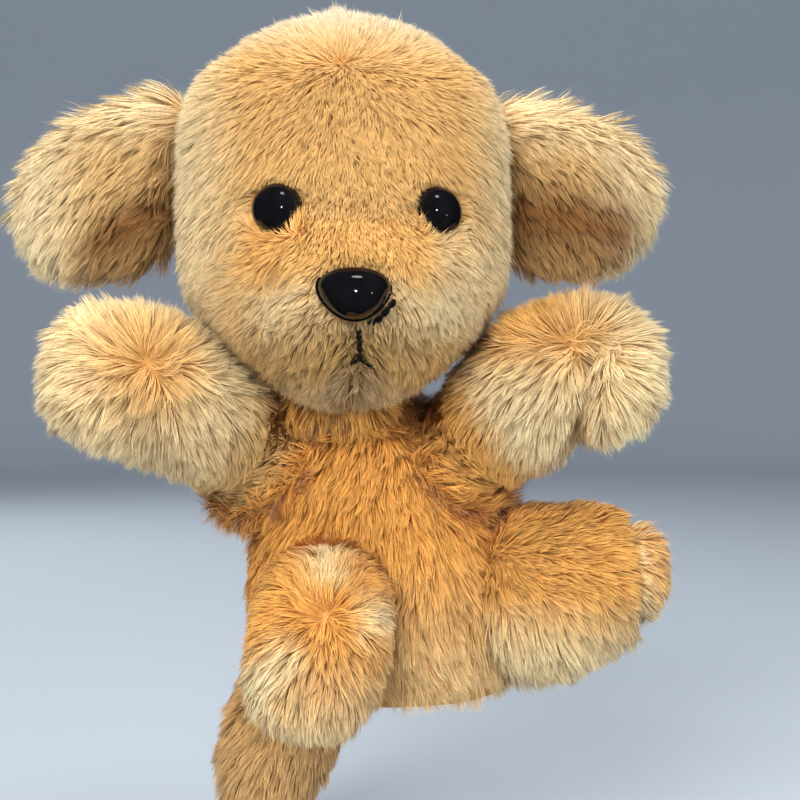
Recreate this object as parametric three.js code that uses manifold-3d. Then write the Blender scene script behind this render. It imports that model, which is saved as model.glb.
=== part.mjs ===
// A small plush puppy hand puppet, life size, in millimetres.
// +Z runs up through the body, -Y is the way the puppy faces, and +X is its own left side.
// The origin is the centre of the hand opening, at the bottom of the body.
//
// The body is a lined sleeve. A finger goes up through the neck into a tube in the stuffed head,
// and one goes into a pocket in each arm. Legs, tail and ears are sewn on and only flop.

import * as THREE from "three";
import { mergeVertices } from "three/addons/utils/BufferGeometryUtils.js";
import Module from "manifold-3d";

const wasm = await Module();
wasm.setup();

// Driving dimensions
const GAP = 0.3; // between pieces that lie against each other
const PLUSH = 2; // plush cloth with its pile pressed flat
const LINING = 0.8; // thin knitted lining
const FAR = 200; // reach of a cutting tool, past any part of the puppet
const THREAD_RADIUS = 0.45;
const FINEST = 0.04; // detail smaller than this, left along cut edges, is smoothed away

const HEAD = {
  centre: [-8, -8, 94],
  turn: 8, // degrees, towards the puppy's left
  halfWidth: 28.5,
  halfDepth: 26,
  halfHeight: 34.5,
  frontSquareness: 4, // exponent of the outline seen from the front: 2 is an ellipse
  sideSquareness: 2.3, // and of the roundness from front to back
  chin: { taper: 0.72, power: 4 }, // the head narrows by taper * share ** power of its half height
  crown: { taper: 0.7, power: 7 },
  muzzle: { out: 11.5, height: -17, spreadX: 15, spreadZ: 12 },
};
const NECK = {
  pivot: [-9, 0, 60],
  holeRadius: 8.7, // through the top of the body
  headHoleRadius: 12.5, // of the ball of space that the head nods round
  tubeRadius: 8.4,
  tubeFrom: 63,
  tubeTo: 102,
};
const GUSSET = { half: 9, bottom: -22 }; // the strip from the nose over the crown
const MUZZLE_PANEL = { size: [17.5, 15, 14.5], at: [0, -35.3, -20.4] }; // a ball cuts its seam
const EYE = { radius: 4.5, height: 3.7, spacing: 14.0, level: -3.1, sunk: 0.5 };
// The nose sits a little to the right of the middle.
const NOSE = {
  halfWidth: 6.2,
  halfHeight: 4.6,
  height: 4.4,
  topHeavy: 0.2, // how much wider the top is than the middle
  aside: -1.4,
  level: -18.1,
  sunk: 0.6,
};
const FLANGE = 0.7; // thickness of the rim under each dome
const POST_RADIUS = 1.3; // of the moulded post behind each eye and the nose
const WASHER = { radius: 4.2, thick: 1.2, behindEye: 3.9, behindNose: 8 };

const TORSO = {
  front: [0, -1, 0],
  blunt: 4,
  stations: [
    { at: [0, 0, -20], wide: 22, deep: 15 },
    { at: [0, 0, 0], wide: 22.5, deep: 16 },
    { at: [-1, -1, 20], wide: 24, deep: 17.5 },
    { at: [-3.5, 0, 38], wide: 22, deep: 16 },
    { at: [-7, 0, 49], wide: 17, deep: 13.5 },
    { at: [-9, 0, 56], wide: 12.5, deep: 12 },
  ],
};
const HEM_HEIGHT = 4;
const LINING_TOP = 50;
const BACK_SEAM_X = -1; // the seam down the middle of the back
const SIDE_SEAM_Y = 3; // the seams down the sides, a little behind the middle

const ARM = {
  ballRadius: 10.2, // of the shoulder that turns in the body's armhole
  ringRadius: 11.2, // of the seam round the shoulder
  ringThickness: 1,
  socketRadius: 12.2,
  cutBehind: 3,
  pocketShare: 0.58,
  blunt: 3.4,
};
const ARMS = {
  left: {
    front: [0, -1, 0.2],
    stations: [
      { at: [14, -3, 46], wide: 9, deep: 9 },
      { at: [23, -11, 55.5], wide: 10.5, deep: 9.8 },
      { at: [33, -18, 62.5], wide: 12.5, deep: 10.8 },
      { at: [48, -24, 63.5], wide: 12, deep: 10.5 },
    ],
  },
  right: {
    front: [0, -1, 0.2],
    stations: [
      { at: [-24, -3, 46], wide: 9, deep: 9 },
      { at: [-33.5, -13.5, 55], wide: 10.2, deep: 9.6 },
      { at: [-45, -22, 61.5], wide: 11.8, deep: 10.8 },
      { at: [-57.5, -29, 63], wide: 12, deep: 10.5 },
    ],
  },
};

// Each leg and the tail is sewn on at a pinched root, and swings there about an axis.
const LEGS = {
  left: {
    front: [0, -1, 0],
    blunt: 2.8,
    pivot: [24, -3, 21],
    axis: [0, 1, 0],
    swing: 15, // degrees either way, cut free of the body
    sole: 0.76, // how far along the foot's end panel starts
    stations: [
      { at: [15, -1, 20], wide: 15, deep: 12 },
      { at: [27, -4, 20.5], wide: 16, deep: 12.5 },
      { at: [40, -8, 24.5], wide: 13, deep: 12 },
      { at: [52.5, -11, 27.5], wide: 9.8, deep: 9.8 },
    ],
  },
  right: {
    front: [1, 0, 0],
    blunt: 2.8,
    pivot: [-11, -17.8, 21],
    axis: [1, 0, 0],
    swing: 15,
    sole: 0.76,
    stations: [
      { at: [-10, -10, 21], wide: 10, deep: 9.5 },
      { at: [-10.5, -23, 20.5], wide: 12, deep: 10.5 },
      { at: [-12, -31, 12], wide: 11.5, deep: 11 },
      { at: [-14, -33, 1.5], wide: 10, deep: 10.5 },
    ],
  },
};
const TAIL = {
  front: [0, -1, 0],
  blunt: 2.6,
  pivot: [-10, 17, 13],
  axis: [0, 1, 0],
  swing: 30,
  stations: [
    { at: [-8, 17, 18], wide: 8, deep: 7 },
    { at: [-16, 23, 1], wide: 10, deep: 8.5 },
    { at: [-23.5, 23, -16], wide: 11, deep: 9 },
    { at: [-28, 21, -34], wide: 9, deep: 7.5 },
  ],
};

// The ear's outline, from the hinge line outwards and up, with its seam along x = 0.
const EAR = {
  outline: [
    [0, 12.5],
    [11, 12.5],
    [22, 9.5],
    [30, 4.5],
    [34, -3],
    [33.5, -11],
    [27, -18],
    [16, -21.5],
    [6.5, -20.5],
    [0.5, -14],
    [0, 0],
  ],
  centre: [15.5, -5],
  thick: 2.6, // of each of the two panels, at the middle
  cup: 0.008, // how fast the ear curls back, per mm
  hingeTop: [29.2, 4, 24],
  hingeBottom: [30.8, 7, -3],
  swept: { left: -7, right: 10 }, // degrees back from straight out
  droop: { left: 0, right: 0.12 }, // fall for each mm outwards
};

// The plush, threads and moulded fittings
const golden = new THREE.MeshStandardMaterial({ color: 0xe5b06a, roughness: 0.95, metalness: 0 });
const cream = new THREE.MeshStandardMaterial({ color: 0xe9cc95, roughness: 0.95, metalness: 0 });
const knit = new THREE.MeshStandardMaterial({ color: 0xd9c6a2, roughness: 0.9, metalness: 0 });
const fibrefill = new THREE.MeshStandardMaterial({ color: 0xf3f0ea, roughness: 1, metalness: 0 });
const blackGloss = new THREE.MeshStandardMaterial({ color: 0x070708, roughness: 0.12, metalness: 0 });
const whitePlastic = new THREE.MeshStandardMaterial({ color: 0xd8d8d4, roughness: 0.5, metalness: 0 });
const blackThread = new THREE.MeshStandardMaterial({ color: 0x1b1b1a, roughness: 0.8, metalness: 0 });
const goldThread = new THREE.MeshStandardMaterial({ color: 0xc9924e, roughness: 0.8, metalness: 0 });

const UP = new THREE.Vector3(0, 0, 1);
const puppet = new THREE.Group();

// ---- Solids ----

function solidOf(geometry) {
  const bare = geometry.clone();
  bare.deleteAttribute("normal");
  bare.deleteAttribute("uv");
  const merged = mergeVertices(bare, 1e-4);
  return new wasm.Manifold(
    new wasm.Mesh({
      numProp: 3,
      vertProperties: merged.attributes.position.array,
      triVerts: new Uint32Array(merged.index.array),
    }),
  );
}

function geometryOf(solid) {
  const mesh = solid.getMesh();
  return new THREE.BufferGeometry()
    .setAttribute("position", new THREE.BufferAttribute(mesh.vertProperties, 3))
    .setIndex(new THREE.BufferAttribute(mesh.triVerts, 1));
}

function addPiece(name, solid, material, parent = puppet) {
  const geometry = geometryOf(solid.simplify(FINEST));
  geometry.computeVertexNormals();
  const mesh = new THREE.Mesh(geometry, material);
  mesh.name = name;
  parent.add(mesh);
}

// A closed surface from rings of points between two end points.
function ringedSolid(start, rings, end) {
  const sides = rings[0].length;
  const points = [start, ...rings.flat(), end];
  const faces = [];
  const index = (ring, side) => 1 + ring * sides + (side % sides);
  for (let side = 0; side < sides; side++) {
    faces.push(0, index(0, side + 1), index(0, side));
    for (let ring = 0; ring + 1 < rings.length; ring++) {
      const [a, b] = [index(ring, side), index(ring, side + 1)];
      const [c, d] = [index(ring + 1, side), index(ring + 1, side + 1)];
      faces.push(a, b, c, b, d, c);
    }
    faces.push(points.length - 1, index(rings.length - 1, side), index(rings.length - 1, side + 1));
  }
  const geometry = new THREE.BufferGeometry().setFromPoints(points);
  geometry.setIndex(faces);
  return solidOf(geometry);
}

function boxFrom([x0, y0, z0], [x1, y1, z1]) {
  const geometry = new THREE.BoxGeometry(x1 - x0, y1 - y0, z1 - z0);
  geometry.translate((x0 + x1) / 2, (y0 + y1) / 2, (z0 + z1) / 2);
  return solidOf(geometry);
}

// A rod along a direction, from one distance to another past a point.
function rodFrom(at, direction, from, to, radius, sides = 18) {
  const geometry = new THREE.CylinderGeometry(radius, radius, to - from, sides);
  geometry.translate(0, (from + to) / 2, 0);
  return solidOf(placedAlong(geometry, at, direction));
}

// Turns a geometry made along +Y so that it points along a direction, and moves it to a point.
function placedAlong(geometry, at, direction) {
  const turn = new THREE.Quaternion().setFromUnitVectors(
    new THREE.Vector3(0, 1, 0),
    direction.clone().normalize(),
  );
  geometry.applyQuaternion(turn);
  geometry.translate(at.x, at.y, at.z);
  return geometry;
}

function ballFrom(at, radius, sides = 16) {
  const geometry = new THREE.SphereGeometry(radius, sides, sides / 2);
  geometry.translate(at.x, at.y, at.z);
  return solidOf(geometry);
}

// Everything on one side of a plane through a point.
function halfSpace(at, direction) {
  const geometry = new THREE.BoxGeometry(2 * FAR, FAR, 2 * FAR);
  geometry.translate(0, FAR / 2, 0);
  return solidOf(placedAlong(geometry, at, direction));
}

// ---- Stuffed tubes: torso, arms, legs and tail ----

function centreLine(stations) {
  return new THREE.CatmullRomCurve3(stations.map((s) => new THREE.Vector3(...s.at)));
}

// The oval's half sizes part of the way along, and the directions that they are measured in.
function sectionAt(form, line, share) {
  const along = line.getUtoTmapping(share) * (form.stations.length - 1);
  const before = Math.min(Math.floor(along), form.stations.length - 2);
  const [a, b] = [form.stations[before], form.stations[before + 1]];
  const mix = THREE.MathUtils.smoothstep(along - before, 0, 1);
  const forward = line.getTangentAt(share);
  const wideWay = new THREE.Vector3().crossVectors(new THREE.Vector3(...form.front), forward).normalize();
  return {
    centre: line.getPointAt(share),
    forward,
    wideWay,
    deepWay: new THREE.Vector3().crossVectors(forward, wideWay),
    wide: THREE.MathUtils.lerp(a.wide, b.wide, mix),
    deep: THREE.MathUtils.lerp(a.deep, b.deep, mix),
  };
}

// The form's surface, moved in by shrink. Its ends close along a superellipse.
function stuffedTube(form, blunt, shrink = 0, sides = 16, steps = 9) {
  const line = centreLine(form.stations);
  const trim = Math.max(0, shrink) / line.getLength();
  const rings = [];
  for (let step = 1; step < steps; step++) {
    const u = -Math.cos((Math.PI * step) / steps);
    const closing = (1 - Math.abs(u) ** blunt) ** (1 / blunt);
    const at = sectionAt(form, line, trim + ((1 - 2 * trim) * (u + 1)) / 2);
    rings.push(
      Array.from({ length: sides }, (_, side) => {
        const angle = (2 * Math.PI * side) / sides;
        return at.centre
          .clone()
          .addScaledVector(at.wideWay, (at.wide - shrink) * closing * Math.cos(angle))
          .addScaledVector(at.deepWay, (at.deep - shrink) * closing * Math.sin(angle));
      }),
    );
  }
  return ringedSolid(line.getPointAt(trim), rings, line.getPointAt(1 - trim));
}

const torsoSurface = (shrink) => stuffedTube(TORSO, TORSO.blunt, shrink, 20, 11);

function makeTorso() {
  const above = (z) => boxFrom([-FAR, -FAR, z], [FAR, FAR, FAR]);
  const neckHole = rodFrom(new THREE.Vector3(...NECK.pivot), UP, -15, 20, NECK.holeRadius);
  const sockets = Object.values(ARMS).map((arm) =>
    ballFrom(new THREE.Vector3(...arm.stations[0].at), ARM.socketRadius),
  );
  const open = (solid) => sockets.reduce((left, socket) => left.subtract(socket), solid.subtract(neckHole));

  const shell = open(torsoSurface(0).subtract(torsoSurface(PLUSH)));
  const cloth = shell.intersect(above(HEM_HEIGHT + GAP));
  const front = boxFrom([-FAR, -FAR, -FAR], [FAR, SIDE_SEAM_Y - GAP / 2, FAR]);
  const backLeft = boxFrom([BACK_SEAM_X + GAP / 2, SIDE_SEAM_Y + GAP / 2, -FAR], [FAR, FAR, FAR]);
  const backRight = boxFrom([-FAR, SIDE_SEAM_Y + GAP / 2, -FAR], [BACK_SEAM_X - GAP / 2, FAR, FAR]);
  addPiece("belly_panel", cloth.intersect(front), golden);
  addPiece("back_left_panel", cloth.intersect(backLeft), golden);
  addPiece("back_right_panel", cloth.intersect(backRight), golden);

  const hem = boxFrom([-FAR, -FAR, 0], [FAR, FAR, HEM_HEIGHT]);
  addPiece("hem_band", shell.intersect(hem), golden);

  const lining = torsoSurface(PLUSH + GAP).subtract(torsoSurface(PLUSH + GAP + LINING));
  const lined = boxFrom([-FAR, -FAR, HEM_HEIGHT + GAP], [FAR, FAR, LINING_TOP]);
  addPiece("sleeve_lining", open(lining).intersect(lined), knit);
}

// A thread drawn round the neck, between the body and the head.
function makeNeckThread() {
  const geometry = new THREE.TorusGeometry(NECK.holeRadius + 1.5, THREAD_RADIUS, 6, 20);
  geometry.translate(NECK.pivot[0], NECK.pivot[1], TORSO.stations.at(-1).at[2] + THREAD_RADIUS + 2 * GAP);
  addPiece("neck_gathering_thread", solidOf(geometry), goldThread);
}

function makeArm(side) {
  const form = ARMS[side];
  const line = centreLine(form.stations);
  const shoulder = line.getPointAt(0);
  const outwards = line.getTangentAt(0);
  const kept = halfSpace(shoulder.clone().addScaledVector(outwards, -ARM.cutBehind), outwards);
  // The tube starts behind the shoulder, so that it is still wide where the ball is.
  const behind = shoulder.clone().addScaledVector(outwards, -ARM.ballRadius);
  const rooted = {
    front: form.front,
    stations: [{ ...form.stations[0], at: behind.toArray() }, ...form.stations],
  };
  const surface = (shrink) => stuffedTube(rooted, ARM.blunt, shrink, 16, 10);
  const shell = surface(0).add(ballFrom(shoulder, ARM.ballRadius)).subtract(surface(PLUSH)).intersect(kept);

  const middle = sectionAt(form, line, 0.5);
  addPiece(`arm_${side}_front_panel`, shell.intersect(besideSeam(middle, "deepWay", 1)), golden);
  addPiece(`arm_${side}_back_panel`, shell.intersect(besideSeam(middle, "deepWay", -1)), golden);

  const pocketEnd = sectionAt(form, line, ARM.pocketShare);
  const inside = surface(PLUSH + GAP);
  const channel = surface(PLUSH + GAP + LINING);
  addPiece(`arm_${side}_stuffing`, inside.intersect(pastSection(pocketEnd, GAP)), fibrefill);
  // The pocket is closed at its far end by a cap as thick as the lining.
  const hollow = channel.subtract(pastSection(pocketEnd, -LINING));
  const pocket = inside.subtract(hollow).subtract(pastSection(pocketEnd, 0)).intersect(kept);
  addPiece(`arm_${side}_finger_pocket`, pocket, knit);

  const ring = new THREE.TorusGeometry(ARM.ringRadius, ARM.ringThickness / 2, 6, 24);
  ring.rotateX(Math.PI / 2);
  addPiece(`arm_${side}_seam_ring`, solidOf(placedAlong(ring, shoulder, outwards)), goldThread);
}

// All that lies past a section of a tube, or to one side of the seam through it.
function pastSection(section, gap) {
  return halfSpace(section.centre.clone().addScaledVector(section.forward, gap), section.forward);
}
function besideSeam(section, way, sign) {
  const direction = section[way].clone().multiplyScalar(sign);
  return halfSpace(section.centre.clone().addScaledVector(direction, GAP / 2), direction);
}

// A limb's surface moved in by shrink, with its root pinched so that it can swing on the body.
function sewnOnSurface(form, shrink) {
  const body = torsoSurface(-GAP - shrink);
  return [-1, -0.5, 0, 0.5, 1].reduce((limb, share) => {
    const swung = geometryOf(body).translate(...form.pivot.map((v) => -v));
    const angle = THREE.MathUtils.degToRad(share * form.swing);
    swung.applyMatrix4(new THREE.Matrix4().makeRotationAxis(new THREE.Vector3(...form.axis), angle));
    return limb.subtract(solidOf(swung.translate(...form.pivot)));
  }, stuffedTube(form, form.blunt, shrink));
}

function makeLeg(side) {
  const form = LEGS[side];
  const line = centreLine(form.stations);
  const shell = sewnOnSurface(form, 0).subtract(sewnOnSurface(form, PLUSH));
  const sole = sectionAt(form, line, form.sole);
  const middle = sectionAt(form, line, 0.5);
  const shank = shell.subtract(pastSection(sole, -GAP / 2));
  addPiece(`leg_${side}_front_panel`, shank.intersect(besideSeam(middle, "deepWay", 1)), golden);
  addPiece(`leg_${side}_back_panel`, shank.intersect(besideSeam(middle, "deepWay", -1)), golden);
  addPiece(`foot_${side}_end_panel`, shell.intersect(pastSection(sole, GAP / 2)), cream);
  addPiece(`leg_${side}_stuffing`, sewnOnSurface(form, PLUSH + GAP), fibrefill);
}

function makeTail() {
  const shell = sewnOnSurface(TAIL, 0).subtract(sewnOnSurface(TAIL, PLUSH));
  const middle = sectionAt(TAIL, centreLine(TAIL.stations), 0.5);
  addPiece("tail_left_panel", shell.intersect(besideSeam(middle, "wideWay", 1)), golden);
  addPiece("tail_right_panel", shell.intersect(besideSeam(middle, "wideWay", -1)), golden);
  addPiece("tail_stuffing", sewnOnSurface(TAIL, PLUSH + GAP), fibrefill);
}

// ---- Head, in a frame of its own with its origin at the head's centre ----

function muzzleOut(x, z) {
  const { out, height, spreadX, spreadZ } = HEAD.muzzle;
  return out * Math.exp(-0.5 * ((x / spreadX) ** 2 + ((z - height) / spreadZ) ** 2));
}

// How much narrower the head is at a height, given as a share of its half height above the centre.
function narrowingAt(share) {
  const { taper, power } = share < 0 ? HEAD.chin : HEAD.crown;
  return 1 - taper * Math.abs(share) ** power;
}

// The head's surface moved in by shrink: a superellipsoid with a narrow chin and crown and a muzzle.
function headSurface(shrink, sides = 22, rows = 13) {
  const geometry = new THREE.SphereGeometry(1, sides, rows);
  geometry.rotateX(Math.PI / 2);
  const { frontSquareness: e, sideSquareness: n } = HEAD;
  const places = geometry.attributes.position;
  for (let i = 0; i < places.count; i++) {
    const [ux, uy, uz] = [places.getX(i), places.getY(i), places.getZ(i)];
    const outline = (Math.abs(ux) ** e + Math.abs(uz) ** e) ** (1 / e);
    const scale = (outline ** n + Math.abs(uy) ** n) ** (-1 / n);
    const x = scale * ux * (HEAD.halfWidth - shrink) * narrowingAt(scale * uz);
    const z = scale * uz * (HEAD.halfHeight - shrink);
    const facing = THREE.MathUtils.smoothstep(-scale * uy, 0, 0.6);
    places.setXYZ(i, x, scale * uy * (HEAD.halfDepth - shrink) - facing * muzzleOut(x, z), z);
  }
  return solidOf(geometry);
}

// The point on the face in front of (x, z), and the way the surface looks there.
function onFace(x, z) {
  const { frontSquareness: e, sideSquareness: n } = HEAD;
  const front = (px, pz) => {
    const across = Math.abs(px / (HEAD.halfWidth * narrowingAt(pz / HEAD.halfHeight)));
    const outline = (across ** e + Math.abs(pz / HEAD.halfHeight) ** e) ** (1 / e);
    return -HEAD.halfDepth * (1 - outline ** n) ** (1 / n) - muzzleOut(px, pz);
  };
  const step = 0.5;
  const slopeX = (front(x + step, z) - front(x - step, z)) / (2 * step);
  const slopeZ = (front(x, z + step) - front(x, z - step)) / (2 * step);
  return {
    at: new THREE.Vector3(x, front(x, z), z),
    out: new THREE.Vector3(slopeX, -1, slopeZ).normalize(),
  };
}

// A one-piece dome and post, turned about +Y: a safety eye, or the blank of the nose.
function domeOnPost(radius, height, postLength, segments = 16) {
  const profile = [new THREE.Vector2(0, -postLength), new THREE.Vector2(POST_RADIUS, -postLength)];
  profile.push(new THREE.Vector2(POST_RADIUS, -FLANGE), new THREE.Vector2(radius, -FLANGE));
  const arcSteps = 4;
  for (let i = 0; i < arcSteps; i++) {
    const angle = (Math.PI / 2) * (i / arcSteps);
    profile.push(new THREE.Vector2(radius * Math.cos(angle), height * Math.sin(angle)));
  }
  profile.push(new THREE.Vector2(0, height));
  return new THREE.LatheGeometry(profile, segments);
}

function washerOn(at, out, depth) {
  const { radius, thick } = WASHER;
  const hole = POST_RADIUS + GAP / 2;
  const corners = [
    [hole, 0],
    [radius, 0],
    [radius, thick],
    [hole, thick],
    [hole, 0],
  ];
  const ring = new THREE.LatheGeometry(corners.map((c) => new THREE.Vector2(...c)), 12);
  ring.translate(0, -depth - thick, 0);
  return solidOf(placedAlong(ring, at, out));
}

const POST_LENGTH = 10;
const SEAT_REACH = 12; // of a seat's cut, forwards and back

// What a fitting takes out of the cloth in front, and out of the stuffing behind.
function seatFor(at, out, radius) {
  const rim = rodFrom(at, out, -FLANGE - GAP, SEAT_REACH, radius + GAP);
  return rim.add(rodFrom(at, out, -SEAT_REACH, 0, POST_RADIUS + GAP));
}
function pocketFor(at, out) {
  return rodFrom(at, out, -POST_LENGTH - 1, 1, WASHER.radius + GAP);
}

function makeHead() {
  const head = new THREE.Group();
  head.position.set(...HEAD.centre);
  head.rotation.z = THREE.MathUtils.degToRad(HEAD.turn);
  puppet.add(head);

  const neck = new THREE.Vector3(...NECK.pivot).sub(head.position).applyAxisAngle(UP, -head.rotation.z);
  const neckBall = ballFrom(neck, NECK.headHoleRadius, 20);

  const fittings = ["left", "right"].map((side) => {
    const face = onFace((side === "left" ? 1 : -1) * EYE.spacing, EYE.level);
    // The eyes look more nearly forwards than the cloth round them.
    const out = face.out.add(new THREE.Vector3(0, -1.5, 0)).normalize();
    return { side, seat: face.at.addScaledVector(out, -EYE.sunk), out };
  });
  const noseFace = onFace(NOSE.aside, NOSE.level);
  const noseOut = new THREE.Vector3(0, -1, 0.12).normalize();
  const noseSeat = noseFace.at.clone().addScaledVector(noseOut, -NOSE.sunk);

  let shell = headSurface(0).subtract(headSurface(PLUSH)).subtract(neckBall);
  let stuffing = headSurface(PLUSH + GAP).subtract(neckBall);
  for (const { seat, out } of fittings) {
    shell = shell.subtract(seatFor(seat, out, EYE.radius));
    stuffing = stuffing.subtract(pocketFor(seat, out)).subtract(seatFor(seat, out, EYE.radius));
  }
  const noseCut = seatFor(noseSeat, noseOut, NOSE.halfWidth);
  shell = shell.subtract(noseCut);
  stuffing = stuffing.subtract(pocketFor(noseSeat, noseOut)).subtract(noseCut);

  const muzzleCut = (gap) => {
    const geometry = new THREE.SphereGeometry(1, 24, 16);
    geometry.scale(...MUZZLE_PANEL.size.map((half) => half + gap));
    geometry.translate(...MUZZLE_PANEL.at);
    return solidOf(geometry);
  };
  const gussetCut = (gap) =>
    boxFrom([-GUSSET.half - gap, -FAR, GUSSET.bottom - gap], [GUSSET.half + gap, FAR, FAR]);
  const sideCut = (sign) => {
    const [from, to] = sign > 0 ? [GAP / 2, FAR] : [-FAR, -GAP / 2];
    return boxFrom([from, -FAR, -FAR], [to, FAR, FAR]);
  };
  const rest = shell.subtract(muzzleCut(GAP));
  addPiece("head_muzzle_panel", shell.intersect(muzzleCut(0)), cream, head);
  addPiece("head_crown_gusset", rest.intersect(gussetCut(0)), golden, head);
  addPiece("head_left_panel", rest.subtract(gussetCut(GAP)).intersect(sideCut(1)), golden, head);
  addPiece("head_right_panel", rest.subtract(gussetCut(GAP)).intersect(sideCut(-1)), golden, head);

  const tubeRod = (radius, spareBelow, spareAbove) => {
    const { pivot, tubeFrom, tubeTo } = NECK;
    return rodFrom(neck, UP, tubeFrom - spareBelow - pivot[2], tubeTo + spareAbove - pivot[2], radius);
  };
  addPiece("head_stuffing", stuffing.subtract(tubeRod(NECK.tubeRadius + GAP, 10, GAP)), fibrefill, head);
  const tube = tubeRod(NECK.tubeRadius, 0, 0).subtract(tubeRod(NECK.tubeRadius - LINING, 1, -LINING));
  addPiece("head_finger_tube", tube, knit, head);

  for (const { side, seat, out } of fittings) {
    const eye = placedAlong(domeOnPost(EYE.radius, EYE.height, POST_LENGTH), seat, out);
    addPiece(`eye_${side}`, solidOf(eye), blackGloss, head);
    addPiece(`eye_${side}_washer`, washerOn(seat, out, WASHER.behindEye), whitePlastic, head);
  }
  addPiece("nose", solidOf(placedAlong(noseBlank(), noseSeat, noseOut)), blackGloss, head);
  addPiece("nose_washer", washerOn(noseSeat, noseOut, WASHER.behindNose), whitePlastic, head);
  makeThreads(head);
  makeEars(head);
}

// The nose is a dome pulled into a rounded triangle, widest near its top.
function noseBlank() {
  const geometry = domeOnPost(1, NOSE.height, POST_LENGTH, 20);
  const places = geometry.attributes.position;
  for (let i = 0; i < places.count; i++) {
    const [x, y, z] = [places.getX(i), places.getY(i), places.getZ(i)];
    // The post keeps its size, and the dome's unit circle becomes the nose's outline.
    if (y < -FLANGE - 1e-6 || Math.hypot(x, z) > 1 + 1e-6) continue;
    const wide = NOSE.halfWidth * (1 + NOSE.topHeavy * z);
    places.setXYZ(i, x * wide, y, z * NOSE.halfHeight);
  }
  return geometry;
}

function threadThrough(points) {
  const stations = points.map((p) => ({ at: p.toArray(), wide: THREAD_RADIUS, deep: THREAD_RADIUS }));
  return stuffedTube({ front: [1, 0, 0], stations }, 6, 0, 6, 6);
}

// The mouth is a short line of black thread that parts in two, and the nose's thread has a loose end.
function makeThreads(head) {
  const lift = THREAD_RADIUS + GAP;
  const over = (x, z) => {
    const face = onFace(x, z);
    return face.at.addScaledVector(face.out, lift);
  };
  const line = threadThrough([over(0, -25.6), over(0.2, -27.2), over(0.4, -29)]);
  const branches = [-1, 1].map((way) =>
    threadThrough([over(0.4, -28.8), over(0.4 + way * 1.4, -29.8), over(0.4 + way * 2.6, -30.2)]),
  );
  addPiece("mouth_stitch", line.add(branches[0]).add(branches[1]), blackThread, head);
  const tip = over(6.9, -18.9).add(new THREE.Vector3(0, -0.8, 0));
  addPiece("nose_thread_end", threadThrough([over(2.6, -22.5), over(4.7, -21.1), tip]), blackThread, head);
}

// One of an ear's two panels: side 1 is the front one, which faces the way the puppy does.
function earPanel(side, droop) {
  const spokes = 18;
  const rings = 3;
  const edge = new THREE.CatmullRomCurve3(
    EAR.outline.map(([x, z]) => new THREE.Vector3(x, 0, z)),
    true,
  ).getSpacedPoints(spokes);
  const [cx, cz] = EAR.centre;
  const layer = (ring, spoke, thick) => {
    const share = ring / rings;
    const x = cx + (edge[spoke].x - cx) * share;
    const z = cz + (edge[spoke].z - cz) * share - droop * x;
    const middle = EAR.cup * x * x;
    return new THREE.Vector3(x, middle - side * (GAP / 2 + thick * Math.sqrt(1 - share * share * 0.92)), z);
  };
  const outside = [];
  const inside = [];
  for (let ring = 1; ring <= rings; ring++) {
    outside.push(Array.from({ length: spokes }, (_, spoke) => layer(ring, spoke, EAR.thick)));
    inside.unshift(Array.from({ length: spokes }, (_, spoke) => layer(ring, spoke, 0)));
  }
  const layers = [...outside, ...inside];
  const [puffed, flat] = [layer(0, 0, EAR.thick), layer(0, 0, 0)];
  return side > 0 ? ringedSolid(puffed, layers, flat) : ringedSolid(flat, layers.reverse(), puffed);
}

// The ears hang on seams at the sides of the head, mirrored but each at an angle of its own.
function makeEars(head) {
  const top = new THREE.Vector3(...EAR.hingeTop);
  const bottom = new THREE.Vector3(...EAR.hingeBottom);
  const seamUp = top.clone().sub(bottom).normalize();
  for (const side of ["left", "right"]) {
    const swept = THREE.MathUtils.degToRad(EAR.swept[side]);
    const outwards = new THREE.Vector3(Math.cos(swept), Math.sin(swept), 0);
    outwards.addScaledVector(seamUp, -outwards.dot(seamUp)).normalize();
    const back = new THREE.Vector3().crossVectors(seamUp, outwards);
    const place = new THREE.Matrix4().makeBasis(outwards, back, seamUp);
    place.setPosition(top.clone().lerp(bottom, 0.5));
    if (side === "right") place.premultiply(new THREE.Matrix4().makeScale(-1, 1, 1));
    for (const [name, face] of [["front", 1], ["back", -1]]) {
      const mesh = new THREE.Mesh(geometryOf(earPanel(face, EAR.droop[side])), face > 0 ? cream : golden);
      mesh.applyMatrix4(place);
      mesh.name = `ear_${side}_${name}_panel`;
      head.add(mesh);
    }
  }
}

makeTorso();
makeNeckThread();
makeHead();
makeArm("left");
makeArm("right");
makeLeg("left");
makeLeg("right");
makeTail();

export default puppet;
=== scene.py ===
"""The look of a plush puppy hand puppet. Lengths are in millimetres until a mesh is made."""

import math

import bpy
import numpy as np
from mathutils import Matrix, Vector
from mathutils.bvhtree import BVHTree
from mathutils.kdtree import KDTree


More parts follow.
